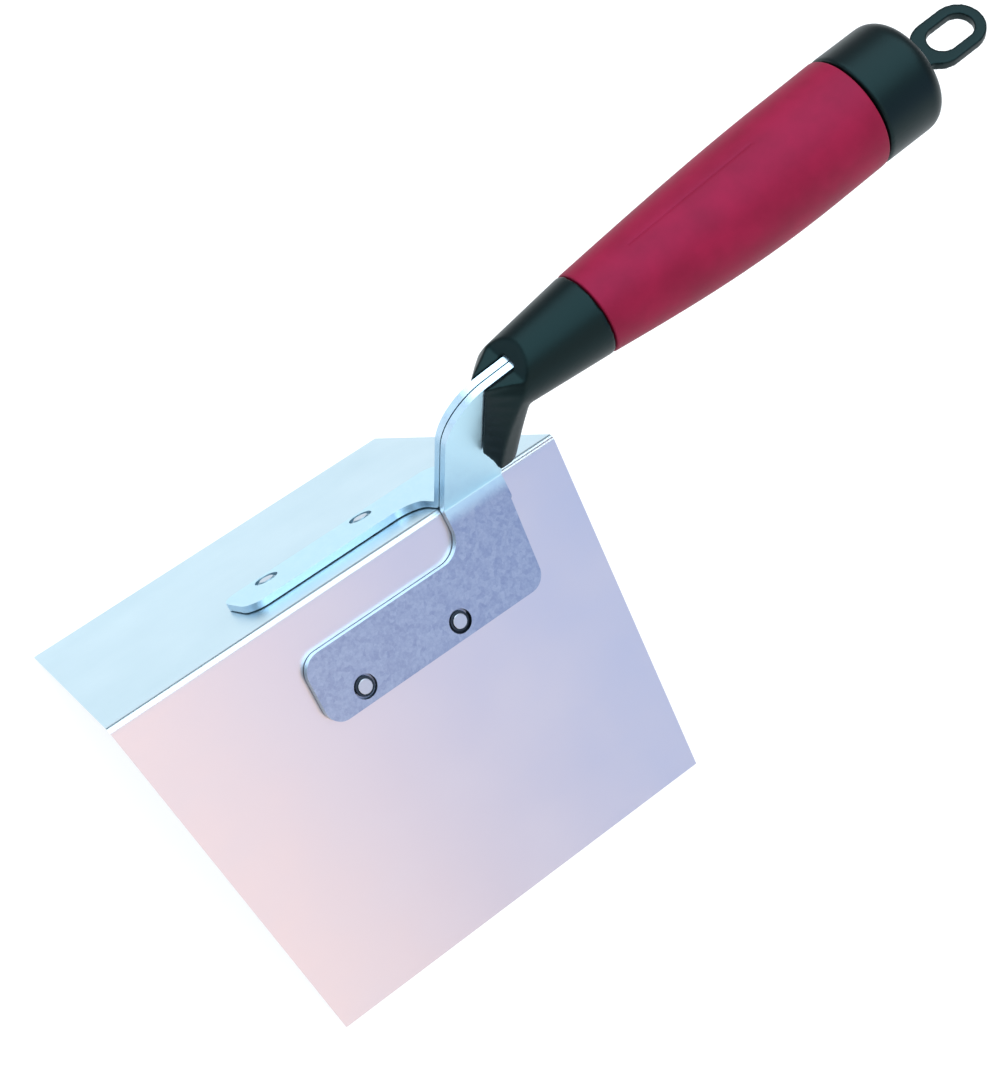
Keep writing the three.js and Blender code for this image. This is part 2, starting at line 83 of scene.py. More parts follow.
def on_axis(station, above=0.0, side=0.0):
    """A point by its station along the handle, its height off the axis and its side step, in mm."""
    return ORIGIN + (ALONG * station + ABOVE * above + SIDE * side) * MM


# ---- Settings -------------------------------------------------------------------------


class TrowelSizes(bpy.types.PropertyGroup):
    """Edge softness and small shapes of the visible pieces"""

    sheet_edge: bpy.props.FloatProperty(
        name="Blade edge radius", description="Rounding of the blade's cut edges",
        default=0.15 * MM, min=0, unit="LENGTH", subtype="DISTANCE",
    )
    bracket_edge: bpy.props.FloatProperty(
        name="Bracket edge radius", description="Rounding of the bracket's sheared edges",
        default=0.28 * MM, min=0, unit="LENGTH", subtype="DISTANCE",
    )
    rivet_edge: bpy.props.FloatProperty(
        name="Rivet edge radius", description="Rounding of the rivet's formed edges",
        default=0.16 * MM, min=0, unit="LENGTH", subtype="DISTANCE",
    )
    grip_lip: bpy.props.FloatProperty(
        name="Grip lip radius", description="Rounding of the grip's two ends",
        default=0.5 * MM, min=0, unit="LENGTH", subtype="DISTANCE",
    )
    cap_corner: bpy.props.FloatProperty(
        name="Cap corner radius", description="Rounding of the end cap's outer corner",
        default=4.8 * MM, min=0, unit="LENGTH", subtype="DISTANCE",
    )
    loop_edge: bpy.props.FloatProperty(
        name="Loop edge radius", description="Rounding of the hang loop's edges",
        default=0.6 * MM, min=0, unit="LENGTH", subtype="DISTANCE",
    )
    floor_size: bpy.props.FloatProperty(
        name="Floor width", description="Width of the studio floor",
        default=14.0, min=1, unit="LENGTH", subtype="DISTANCE",
    )


def colour_property(name, description, hex_text):
    """A colour setting given as an sRGB hex value."""
    return bpy.props.FloatVectorProperty(
        name=name, description=description, subtype="COLOR", size=4,
        min=0, max=1, default=linear(hex_text),
    )


def linear(hex_text):
    """Linear RGBA of an sRGB hex colour."""
    parts = [int(hex_text[i : i + 2], 16) / 255 for i in (1, 3, 5)]
    return [p / 12.92 if p <= 0.04045 else ((p + 0.055) / 1.055) ** 2.4 for p in parts] + [1.0]


class TrowelColours(bpy.types.PropertyGroup):
    """Colours of the finishes"""

    # The two blade colours are painted reflections: warm on the -Y flange, cool on the +Y flange.
    steel_painted_warm_reflection: colour_property("Blade, -Y flange", "Stainless sheet on the -Y flange", "#D4D4D9")
    steel_painted_cool_reflection: colour_property("Blade, +Y flange", "Stainless sheet on the +Y flange", "#B3CDD9")
    zinc_light: colour_property("Zinc, light", "Light crystals of the zinc coat", "#A1B1C9")
    zinc_dark: colour_property("Zinc, dark", "Dark crystals of the zinc coat", "#8899B6")
    # Painted reflection of the bright floor, on the web and the +Y leg.
    zinc_painted_floor_reflection: colour_property("Zinc, cool side", "Zinc coat of the web and +Y leg", "#C2E8F4")
    # Groove colours: on the -Y leg partly dirt, partly painted shade in the recesses; the +Y copy
    # is lighter, without the painted shade.
    groove: colour_property("Groove", "Darkened steel round the -Y rivets", "#3A4450")
    groove_unshaded: colour_property("Unshaded groove", "Steel round the +Y rivets", "#9DB8C6")
    cut_steel: colour_property("Cut edge", "Sheared edges of the bracket", "#BBD4E6")
    rivet_steel: colour_property("Rivets", "Rivet steel", "#B9C4CF")
    plastic: colour_property("Plastic", "Moulded core and cap", "#070C0D")
    rubber: colour_property("Grip", "Soft grip", "#881734")
    rubber_deep: colour_property("Grip, deep", "Worn-smooth patches of the grip", "#7B142D")


# ---- Small modelling helpers ----------------------------------------------------------


def deselect_all():
    """Leaves object mode with nothing selected."""
    if bpy.context.object and bpy.context.object.mode != "OBJECT":
        bpy.ops.object.mode_set(mode="OBJECT")
    bpy.ops.object.select_all(action="DESELECT")


def take(piece):
    """Makes one object the only selected one and the active one."""
    deselect_all()
    piece.select_set(True)
    bpy.context.view_layer.objects.active = piece


def edit(piece):
    """Enters edit mode on one piece with everything in it selected."""
    take(piece)
    bpy.ops.object.mode_set(mode="EDIT")
    bpy.ops.mesh.select_mode(type="VERT")
    bpy.ops.mesh.select_all(action="SELECT")


def leave_edit():
    """Back to object mode."""
    bpy.ops.object.mode_set(mode="OBJECT")


def apply_modifier(piece, kind, **settings):
    """Adds one modifier with its settings and applies it."""
    take(piece)
    modifier = piece.modifiers.new(kind.title(), kind)
    for key, value in settings.items():
        setattr(modifier, key, value)
    bpy.ops.object.modifier_apply(modifier=modifier.name)


def node_copy(node, name):
    """A separate piece with a CAD node's shape, its loose triangles joined."""
    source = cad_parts.get(node)
    if source is None:
        raise RuntimeError(f"no CAD node named {node}")
    piece = bpy.data.objects.new(name, source.data.copy())
    piece.data.materials.clear()
    bpy.context.scene.collection.objects.link(piece)
    edit(piece)
    bpy.ops.mesh.remove_doubles(threshold=0.002 * MM)
    bpy.ops.mesh.dissolve_limited(angle_limit=math.radians(0.5))
    leave_edit()
    return piece


def round_edges(piece, width, angle=30, segments=3):
    """Rounds every edge sharper than the angle, in degrees."""
    apply_modifier(
        piece, "BEVEL", width=width, segments=segments, limit_method="ANGLE",
        angle_limit=math.radians(angle), use_clamp_overlap=True,
    )


def smooth(piece, angle=35):
    """Shades the piece smooth but keeps edges sharper than the angle, in degrees."""
    take(piece)
    bpy.ops.object.shade_smooth_by_angle(angle=math.radians(angle))


def keep_flats(piece):
    """Lets the large flat faces set the shading, so that only the roundings curve."""
    smooth(piece, 50)
    apply_modifier(piece, "WEIGHTED_NORMAL", weight=100, keep_sharp=True)


def settle(piece, nodes, finish):
    """Gives the piece its material and its place in the tool."""
    if not piece.data.materials:
        piece.data.materials.append(finish)
    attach(piece, "root")
    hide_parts(*nodes)


def paint_faces(piece, slot, test):
    """Gives a material slot to the faces that pass the test of normal and corner places."""
    edit(piece)
    bpy.ops.mesh.select_mode(type="FACE")
    bpy.ops.mesh.select_all(action="DESELECT")
    leave_edit()
    for face in piece.data.polygons:
        places = [piece.data.vertices[index].co for index in face.vertices]
        face.select = test(face.normal, places)
    bpy.ops.object.mode_set(mode="EDIT")
    piece.active_material_index = slot
    bpy.ops.object.material_slot_assign()
    leave_edit()


def choose_vertices(piece, test):
    """Selects, in edit mode, only the vertices whose place passes the test."""
    bpy.ops.mesh.select_mode(type="VERT")
    bpy.ops.mesh.select_all(action="DESELECT")
    leave_edit()
    for vertex in piece.data.vertices:
        vertex.select = test(vertex.co)
    bpy.ops.object.mode_set(mode="EDIT")


def ring_start(name, station, radius, sides, shift=0.0):
    """A circle of the given sides round the handle's axis, open for edit mode."""
    deselect_all()
    bpy.ops.mesh.primitive_circle_add(
        vertices=sides, radius=radius * MM, location=on_axis(station, shift),
        rotation=(0, math.pi / 2 - RISE, 0),
    )
    piece = bpy.context.object
    piece.name = name
    take(piece)
    bpy.ops.object.transform_apply(location=True, rotation=True, scale=True)
    edit(piece)
    return piece


def pull_rings(profile):
    """Extrudes the selected circle through (station, radius, shift) rings, in mm."""
    here = profile[0]
    for ring in profile[1:]:
        bpy.ops.mesh.extrude_region_move()
        move = on_axis(ring[0], ring[2]) - on_axis(here[0], here[2])
        bpy.ops.transform.translate(value=move)
        share = ring[1] / here[1]
        bpy.ops.transform.resize(
            value=(share, share, share), center_override=on_axis(ring[0], ring[2])
        )
        here = ring


def close_turned(piece, distance):
    """Joins the first and last rings of a turned shell and points its faces outwards."""
    bpy.ops.mesh.select_all(action="SELECT")
    bpy.ops.mesh.remove_doubles(threshold=distance * MM)
    bpy.ops.mesh.normals_make_consistent(inside=False)
    leave_edit()


def rounded(corner, start, end, radius, steps=5):
    """Points of a quarter-like arc between two directions about a corner's centre."""
    points = []
    for i in range(steps + 1):
        angle = start + (end - start) * i / steps
        points.append((corner[0] + radius * math.cos(angle), corner[1] + radius * math.sin(angle)))
    return points


# ---- Materials ------------------------------------------------------------------------


def add(tree, kind, inputs=None, links=None, **settings):
    """Adds one node with its settings, its fixed inputs and its links."""
    node = tree.nodes.new(kind)
    for key, value in settings.items():
        setattr(node, key, value)
    for key, value in (inputs or {}).items():
        node.inputs[key].default_value = value
    for key, source in (links or {}).items():
        tree.links.new(source, node.inputs[key])
    return node


def new_finish(name):
    """An empty material with its output node."""
    finish = bpy.data.materials.new(name)
    finish.use_nodes = True
    finish.node_tree.nodes.clear()
    return finish, finish.node_tree


def close_finish(tree, shader):
    """Joins the shader to the material's output."""
    add(tree, "ShaderNodeOutputMaterial", links={"Surface": shader.outputs[0]})


def colours():
    """The colour settings of this scene."""
    return bpy.context.scene.trowel_colours


def stainless_sheet():
    """Cold-rolled stainless sheet, bright annealed: a soft mirror with painted warm and cool
    reflections tinting its two flanges, fine rolling lines along the fold and faint handling marks."""
    paint = colours()
    finish, tree = new_finish("stainless_sheet")
    place = add(tree, "ShaderNodeTexCoord").outputs["Object"]
    split = add(tree, "ShaderNodeSeparateXYZ", links={"Vector": place})
    # Painted reflections: the -Y flange takes the warm colour and the +Y flange the cool one.
    side = add(
        tree, "ShaderNodeMapRange", {"From Min": -0.002, "From Max": 0.002},
        {"Value": split.outputs["Y"]}, interpolation_type="SMOOTHSTEP",
    )
    tint = add(
        tree, "ShaderNodeMix", {"A": paint.steel_painted_warm_reflection, "B": paint.steel_painted_cool_reflection},
        {"Factor": side.outputs[0]}, data_type="RGBA",
    )
    # Rolling lines: about 1 mm apart across the sheet and some 60 mm long.
    stretch = add(
        tree, "ShaderNodeMapping", {"Scale": (16.0, 1000.0, 1000.0)}, {"Vector": place}
    )
    lines = add(
        tree, "ShaderNodeTexNoise", {"Scale": 1.0, "Detail": 3.0, "Roughness": 0.6},
        {"Vector": stretch.outputs[0]},
    )
    # Handling marks: soft patches about 20 mm across.
    marks = add(
        tree, "ShaderNodeTexNoise", {"Scale": 50.0, "Detail": 4.0, "Roughness": 0.55},
        {"Vector": place},
    )
    blend = add(
        tree, "ShaderNodeMath", {1: 0.35},
        {0: lines.outputs[0], 2: marks.outputs[0]}, operation="MULTIPLY_ADD",
    )
    rough = add(
        tree, "ShaderNodeMapRange",
        {"From Min": 0.35, "From Max": 1.0, "To Min": 0.27, "To Max": 0.36},
        {"Value": blend.outputs[0]},
    )
    bump = add(
        tree, "ShaderNodeBump", {"Strength": 0.03, "Distance": 0.00001},
        {"Height": marks.outputs[0]},
    )
    shader = add(
        tree, "ShaderNodeBsdfPrincipled", {"Metallic": 1.0},
        {
            "Base Color": tint.outputs["Result"], "Roughness": rough.outputs[0],
            "Normal": bump.outputs[0],
        },
    )
    close_finish(tree, shader)
    return finish


def zinc_coat():
    """Hot-dip galvanised mild steel: dull blue-grey zinc with crystals about a millimetre wide
    that differ a little in tone and shine."""
    paint = colours()
    finish, tree = new_finish("galvanised_steel")
    place = add(tree, "ShaderNodeTexCoord").outputs["Object"]
    # Crystals about 1.2 mm across, broken up by finer grain.
    warp = add(tree, "ShaderNodeTexNoise", {"Scale": 900.0, "Detail": 3.0}, {"Vector": place})
    moved = add(
        tree, "ShaderNodeVectorMath", {1: (0.0008, 0.0008, 0.0008)},
        {0: warp.outputs["Color"], 2: place}, operation="MULTIPLY_ADD",
    )
    crystal = add(
        tree, "ShaderNodeTexVoronoi", {"Scale": 830.0}, {"Vector": moved.outputs[0]}
    )
    tone = add(tree, "ShaderNodeSeparateColor", links={"Color": crystal.outputs["Color"]})
    cloud = add(
        tree, "ShaderNodeTexNoise", {"Scale": 1400.0, "Detail": 4.0, "Roughness": 0.65},
        {"Vector": place},
    )
    mixed = add(
        tree, "ShaderNodeMath", {1: 0.35}, {0: tone.outputs[0], 2: cloud.outputs[0]},
        operation="MULTIPLY_ADD",
    )
    bright = add(
        tree, "ShaderNodeMapRange", {"From Min": 0.35, "From Max": 0.95},
        {"Value": mixed.outputs[0]},
    )
    mottle = add(
        tree, "ShaderNodeMix", {"A": paint.zinc_dark, "B": paint.zinc_light},
        {"Factor": bright.outputs[0]}, data_type="RGBA",
    )
    # Painted reflection: the web and the +Y leg take a pale cyan tint that paints in the bright
    # floor they look out over.
    split = add(tree, "ShaderNodeSeparateXYZ", links={"Vector": place})
    cool = add(
        tree, "ShaderNodeMapRange", {"From Min": -0.005, "From Max": -0.002},
        {"Value": split.outputs["Y"]}, interpolation_type="SMOOTHSTEP",
    )
    floor_reflection_tinted = add(
        tree, "ShaderNodeMix", {"Factor": 0.82, "B": paint.zinc_painted_floor_reflection},
        {"A": mottle.outputs["Result"]}, data_type="RGBA",
    )
    colour = add(
        tree, "ShaderNodeMix", None,
        {"Factor": cool.outputs[0], "A": mottle.outputs["Result"], "B": floor_reflection_tinted.outputs["Result"]},
        data_type="RGBA",
    )
    rough = add(
        tree, "ShaderNodeMapRange",
        {"From Min": 0.35, "From Max": 0.95, "To Min": 0.36, "To Max": 0.48},
        {"Value": mixed.outputs[0]},
    )
    bump = add(
        tree, "ShaderNodeBump", {"Strength": 0.35, "Distance": 0.00006},
        {"Height": cloud.outputs[0]},
    )
    shader = add(
        tree, "ShaderNodeBsdfPrincipled", {"Metallic": 1.0},
        {
            "Base Color": colour.outputs["Result"], "Roughness": rough.outputs[0],
            "Normal": bump.outputs[0],
        },
    )
    close_finish(tree, shader)
    return finish


def bare_steel(name, colour, low, high, grain):
    """Bare cut or formed steel: brighter than the zinc, with a fine torn grain."""
    finish, tree = new_finish(name)
    place = add(tree, "ShaderNodeTexCoord").outputs["Object"]
    torn = add(
        tree, "ShaderNodeTexNoise", {"Scale": grain, "Detail": 4.0, "Roughness": 0.6},
        {"Vector": place},
    )
    lift = add(
        tree, "ShaderNodeMapRange", {"To Min": 0.9, "To Max": 1.06}, {"Value": torn.outputs[0]}
    )
    shade = add(
        tree, "ShaderNodeHueSaturation", {"Color": colour}, {"Value": lift.outputs[0]}
    )
    rough = add(
        tree, "ShaderNodeMapRange", {"To Min": low, "To Max": high}, {"Value": torn.outputs[0]}
    )
    bump = add(
        tree, "ShaderNodeBump", {"Strength": 0.25, "Distance": 0.00004},
        {"Height": torn.outputs[0]},
    )
    shader = add(
        tree, "ShaderNodeBsdfPrincipled", {"Metallic": 1.0},
        {
            "Base Color": shade.outputs[0], "Roughness": rough.outputs[0],
            "Normal": bump.outputs[0],
        },
    )
    close_finish(tree, shader)
    return finish


def moulded_plastic():
    """Injection-moulded polypropylene, black with a trace of green: a fine spark-eroded texture
    that gives broad soft highlights."""
    paint = colours()
    finish, tree = new_finish("moulded_polypropylene")
    place = add(tree, "ShaderNodeTexCoord").outputs["Object"]
    # Eroded grain 0.25 mm wide, coarse enough to show.
    grain = add(
        tree, "ShaderNodeTexNoise", {"Scale": 4000.0, "Detail": 2.0}, {"Vector": place}
    )
    flow = add(
        tree, "ShaderNodeTexNoise", {"Scale": 60.0, "Detail": 3.0, "Roughness": 0.5},
        {"Vector": place},
    )
    lift = add(
        tree, "ShaderNodeMapRange", {"To Min": 0.8, "To Max": 1.2}, {"Value": flow.outputs[0]}
    )
    shade = add(
        tree, "ShaderNodeHueSaturation", {"Color": paint.plastic}, {"Value": lift.outputs[0]}
    )
    rough = add(
        tree, "ShaderNodeMapRange", {"To Min": 0.36, "To Max": 0.44}, {"Value": flow.outputs[0]}
    )
    bump = add(
        tree, "ShaderNodeBump", {"Strength": 0.18, "Distance": 0.00004},
        {"Height": grain.outputs[0]},
    )
    # Specular Tint: a painted cyan cast on the plastic's reflections.
    shader = add(
        tree, "ShaderNodeBsdfPrincipled",
        {"IOR": 1.49, "Specular IOR Level": 0.25, "Specular Tint": linear("#A8F0F6")},
        {
            "Base Color": shade.outputs[0], "Roughness": rough.outputs[0],
            "Normal": bump.outputs[0],
        },
    )
    close_finish(tree, shader)
    return finish


def soft_rubber():
    """Over-moulded thermoplastic rubber, crimson: matt, with a velvety edge, a painted violet tint
    on its sheen and a fine skin.
    """
    paint = colours()
    finish, tree = new_finish("soft_touch_rubber")
    place = add(tree, "ShaderNodeTexCoord").outputs["Object"]
    patch = add(
        tree, "ShaderNodeTexNoise", {"Scale": 90.0, "Detail": 4.0, "Roughness": 0.55},
        {"Vector": place},
    )
    fresh = add(
        tree, "ShaderNodeMapRange", {"From Min": 0.35, "From Max": 0.65},
        {"Value": patch.outputs[0]},
    )
    colour = add(
        tree, "ShaderNodeMix", {"A": paint.rubber_deep, "B": paint.rubber},
        {"Factor": fresh.outputs[0]}, data_type="RGBA",
    )
    # Skin pores 0.3 mm apart.
    skin = add(
        tree, "ShaderNodeTexNoise", {"Scale": 3300.0, "Detail": 2.0, "Roughness": 0.5},
        {"Vector": place},
    )
    bump = add(
        tree, "ShaderNodeBump", {"Strength": 0.22, "Distance": 0.00005},
        {"Height": skin.outputs[0]},
    )
    rough = add(
        tree, "ShaderNodeMapRange", {"To Min": 0.5, "To Max": 0.62},
        {"Value": patch.outputs[0]},
    )
    # Specular Tint: a painted violet cast on the grip's sheen.
    shader = add(
        tree, "ShaderNodeBsdfPrincipled",
        {"IOR": 1.5, "Specular IOR Level": 0.2, "Specular Tint": linear("#C9B4FF")},
        {
            "Base Color": colour.outputs["Result"], "Roughness": rough.outputs[0],
            "Normal": bump.outputs[0],
        },
    )
    close_finish(tree, shader)
    return finish


def studio_paper():
    """Matt white background paper: plain, with a tooth too fine to see."""
    finish, tree = new_finish("background_paper")
    place = add(tree, "ShaderNodeTexCoord").outputs["Object"]
    tooth = add(tree, "ShaderNodeTexNoise", {"Scale": 400.0}, {"Vector": place})
    rough = add(
        tree, "ShaderNodeMapRange", {"To Min": 0.85, "To Max": 0.95}, {"Value": tooth.outputs[0]}
    )
    shader = add(
        tree, "ShaderNodeBsdfPrincipled",
        {
            "Base Color": linear("#A0A0A0"), "Specular IOR Level": 0.0,
            "Emission Color": linear("#FFFFFF"), "Emission Strength": 0.75,
        },
        {"Roughness": rough.outputs[0]},
    )
    close_finish(tree, shader)
    return finish


def finish_named(name, make):
    """A finish that several pieces share, made the first time it is asked for."""
    return bpy.data.materials.get(name) or make()


# ---- Operators ------------------------------------------------------------------------


class TROWEL_OT_blade(bpy.types.Operator):
    """Make the folded stainless blade"""

    bl_idname = "trowel.blade"
    bl_label = "Blade"

    def execute(self, context):
        sizes = context.scene.trowel_sizes
        sheet = node_copy("blade", "folded_blade")
        round_edges(sheet, sizes.sheet_edge, angle=40, segments=2)
        keep_flats(sheet)
        settle(sheet, ["blade"], finish_named("stainless_sheet", stainless_sheet))
        return {"FINISHED"}


class TROWEL_OT_bracket(bpy.types.Operator):
    """Make the two stamped halves of the bracket"""

    bl_idname = "trowel.bracket"
    bl_label = "Bracket"

    def execute(self, context):
        for side, name in ((-1, "left"), (1, "right")):
            self.make_half(context.scene.trowel_sizes, side, name)
        return {"FINISHED"}

    def make_half(self, sizes, side, name):
        """One stamping, with its cut faces marked as bare steel."""
        half = node_copy(f"bracket_{name}", f"stamping_{name}")
        off = flange_normal(side)
        half.data.materials.append(finish_named("galvanised_steel", zinc_coat))
        half.data.materials.append(finish_named("sheared_edge", sheared_steel))
        half.data.materials.append(groove_steel(side))
        paint_faces(half, 1, lambda normal, places: is_cut_face(normal, off))
        # The recesses round the rivets take the groove finish: painted shade and dirt.
        for end in ("front", "rear"):
            middle = node_middle(f"rivet_{name}_{end}")
            paint_faces(half, 2, lambda normal, places: near_axis(places, middle, off))
        round_edges(half, sizes.bracket_edge)
        keep_flats(half)
        settle(half, [f"bracket_{name}"], None)


def sheared_steel():
    """Edges cut in the press, where bright steel shows beside the zinc."""
    return bare_steel("sheared_edge", colours().cut_steel, 0.3, 0.42, 2500.0)


def groove_steel(side):
    """Steel in the recesses round the rivets: on the -Y leg dark, partly dirt and partly painted
    shade; on the +Y leg a lighter copy with the painted shade left out.
    """
    if side > 0:
        return finish_named(
            "groove_steel_unshaded",
            lambda: bare_steel("groove_steel_unshaded", colours().groove_unshaded, 0.5, 0.6, 1800.0),
        )
    return finish_named(
        "groove_steel", lambda: bare_steel("groove_steel", colours().groove, 0.5, 0.65, 1800.0)
    )


def flange_normal(side):
    """The outward normal of the flange on that side, -1 or 1."""
    return Vector((0, side * math.cos(OFF_FLANGE), math.sin(OFF_FLANGE)))


RECESS_REACH = 3.02  # radius that just takes in the recess round a rivet, in mm
BRIGHT_TIP = 0.2  # height of a rivet's end that stays bright, in mm


def node_middle(node):
    """The middle of a CAD node's box."""
    low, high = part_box(node)
    return (low + high) / 2


def is_cut_face(normal, off):
    """Whether a face of the bracket is one of the sheet's cut edges."""
    flat = 0.1
    return abs(normal.y) < flat or abs(normal.dot(off)) < flat


def near_axis(places, middle, off):
    """Whether all the places lie in the recess round the axis through the middle along off."""
    return all((place - middle).cross(off).length < RECESS_REACH * MM for place in places)


class TROWEL_OT_rivets(bpy.types.Operator):
    """Make the four rivets"""

    bl_idname = "trowel.rivets"
    bl_label = "Rivets"

    def execute(self, context):
        sizes = context.scene.trowel_sizes
        steel = bare_steel("rivet_steel", colours().rivet_steel, 0.3, 0.42, 1800.0)
        for side, name in ((-1, "left"), (1, "right")):
            for end in ("front", "rear"):
                node = f"rivet_{name}_{end}"
                rivet = node_copy(node, f"formed_{node}")
                rivet.data.materials.append(steel)
                rivet.data.materials.append(groove_steel(side))
                self.darken_collar(rivet, flange_normal(side))
                round_edges(rivet, sizes.rivet_edge, angle=40)
                keep_flats(rivet)
                settle(rivet, [node], None)
        return {"FINISHED"}

    def darken_collar(self, rivet, off):
        """Only the formed end of the shank stays bright; below it the rivet takes the groove colour
        of its side, with the dirt and painted shade on the -Y leg.
        """
        top = max(vertex.co.dot(off) for vertex in rivet.data.vertices)
        low = top - BRIGHT_TIP * MM
        paint_faces(rivet, 1, lambda normal, places: min(p.dot(off) for p in places) < low)


class TROWEL_OT_pins(bpy.types.Operator):
    """Finish the two pins that hold the tangs in the handle"""

    bl_idname = "trowel.pins"
    bl_label = "Tang pins"

    def execute(self, context):
        steel = bare_steel("turned_pin_steel", colours().rivet_steel, 0.25, 0.35, 1200.0)
        for node in ("tang_pin_front", "tang_pin_rear"):
            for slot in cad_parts[node].material_slots:
                slot.material = steel
        return {"FINISHED"}


CORE_VOXEL = 0.38  # in mm
CORE_SMOOTHINGS = 12


class TROWEL_OT_core(bpy.types.Operator):
    """Make the moulded ferrule, neck and spindle"""

    bl_idname = "trowel.core"
    bl_label = "Handle core"

    def execute(self, context):
        core = node_copy("handle_core", "moulded_core")
        apply_modifier(core, "REMESH", mode="VOXEL", voxel_size=CORE_VOXEL * MM, adaptivity=0.0)
        apply_modifier(core, "SMOOTH", factor=0.5, iterations=CORE_SMOOTHINGS)
        smooth(core, 60)
        settle(
            core, ["handle_core"],
            finish_named("moulded_polypropylene", moulded_plastic),
        )
        return {"FINISHED"}


GRIP_FRONT = 8.0  # stations of the visible grip's ends, in mm
GRIP_BACK = 88.0
GRIP_STATION_ZERO = 7.7
GRIP_SPAN = 80.6
GRIP_FRONT_RADIUS = 10.5
GRIP_SWELL = 4.1
GRIP_SWELL_SHARE = 0.8
GRIP_BELLY = 1.3
GRIP_WALL = 3.4
GRIP_SIDES = 96
GRIP_RINGS = 40
BORE_RINGS = 16
LINE_ANGLE = 7.5  # of the parting line, in degrees from the top toward +Y
LINE_FRONT = 22.0  # stations of the parting line's ends, in mm
LINE_BACK = 61.0
LINE_WIDTH = 0.22
LINE_DEPTH = 0.14


def grip_radius(station):
    """The grip's outer radius, which swells toward the loop."""
    share = (station - GRIP_STATION_ZERO) / GRIP_SPAN / GRIP_SWELL_SHARE
    return GRIP_FRONT_RADIUS + GRIP_SWELL * math.sin(min(share, 1) * math.pi / 2)


def grip_sag(station):
    """How far the grip's outside hangs below the axis."""
    share = (station - GRIP_STATION_ZERO) / GRIP_SPAN
    return -GRIP_BELLY * math.sin(min(max(share, 0), 1) * math.pi)


class TROWEL_OT_grip(bpy.types.Operator):
    """Make the soft grip sleeve"""

    bl_idname = "trowel.grip"
    bl_label = "Grip sleeve"

    def execute(self, context):
        lip = context.scene.trowel_sizes.grip_lip / MM
        rings = self.outside(lip) + self.bore()
        rings.append(rings[0])
        sleeve = ring_start("soft_grip", rings[0][0], rings[0][1], GRIP_SIDES, rings[0][2])
        pull_rings(rings)
        close_turned(sleeve, 0.01)
        self.parting_line(sleeve)
        smooth(sleeve, 50)
        settle(
            sleeve, ["grip_sleeve"],
            finish_named("soft_touch_rubber", soft_rubber),
        )
        return {"FINISHED"}

    def parting_line(self, sleeve):
        """Presses the mould's parting line, a fine crease, along the top of the grip."""
        edit(sleeve)
        choose_vertices(sleeve, lambda place: self.on_line(place, 1.8))
        bpy.ops.mesh.bevel(offset=LINE_WIDTH * MM, segments=2, affect="EDGES")
        choose_vertices(sleeve, lambda place: self.on_line(place, 0.3))
        bpy.ops.transform.shrink_fatten(value=-LINE_DEPTH * MM)
        leave_edit()

    def on_line(self, place, spread):
        """Whether a place on the outside lies on the parting line, within some degrees."""
        station = (place - ORIGIN).dot(ALONG) / MM
        arm = (place - on_axis(station, grip_sag(station))) / MM
        angle = math.degrees(math.atan2(arm.dot(SIDE), arm.dot(ABOVE)))
        outer = arm.length > grip_radius(station) - 0.5 * GRIP_WALL
        beside = LINE_FRONT < station < LINE_BACK
        return outer and beside and abs(angle - LINE_ANGLE) < spread

    def outside(self, lip):
        """Rings from the front lip over the outside to the rear lip."""
        first, last = GRIP_FRONT + lip, GRIP_BACK - lip
        rings = [(GRIP_FRONT, grip_radius(GRIP_FRONT) - lip * 1.6, grip_sag(GRIP_FRONT))]
        for s, r in rounded((first, grip_radius(first) - lip), math.pi, math.pi / 2, lip):
            rings.append((s, r, grip_sag(s)))
        for i in range(1, GRIP_RINGS):
            s = first + (last - first) * i / GRIP_RINGS
            rings.append((s, grip_radius(s), grip_sag(s)))
        for s, r in rounded((last, grip_radius(last) - lip), math.pi / 2, 0, lip):
            rings.append((s, r, grip_sag(s)))
        return rings

    def bore(self):
        """Rings of the bore, from the rear end to the front."""
        rings = []
        for i in range(BORE_RINGS + 1):
            s = GRIP_BACK + (GRIP_FRONT - GRIP_BACK) * i / BORE_RINGS
            rings.append((s, grip_radius(s) - GRIP_WALL, 0.0))
        return rings


CAP_VOXEL = 0.3  # in mm, like the lengths below
CAP_SMOOTHINGS = 10
CAP_SIDES = 128
CENTRE_RADIUS = 0.05  # of the tiny ring that closes a turned shell
CAP_FRONT = 88.6
CAP_BACK = 107.3
CAP_RADIUS = 14.54
SOCKET_RADIUS = 6.8
SOCKET_FLOOR = 101.6
LOOP_NEAR = 111.0
LOOP_FAR = 131.0
LOOP_WIDTH = 13.4
LOOP_WALL = 2.9
LOOP_NEAR_WALL = 4.4
LOOP_THICKNESS = 2.6
LOOP_STEM = 8.0


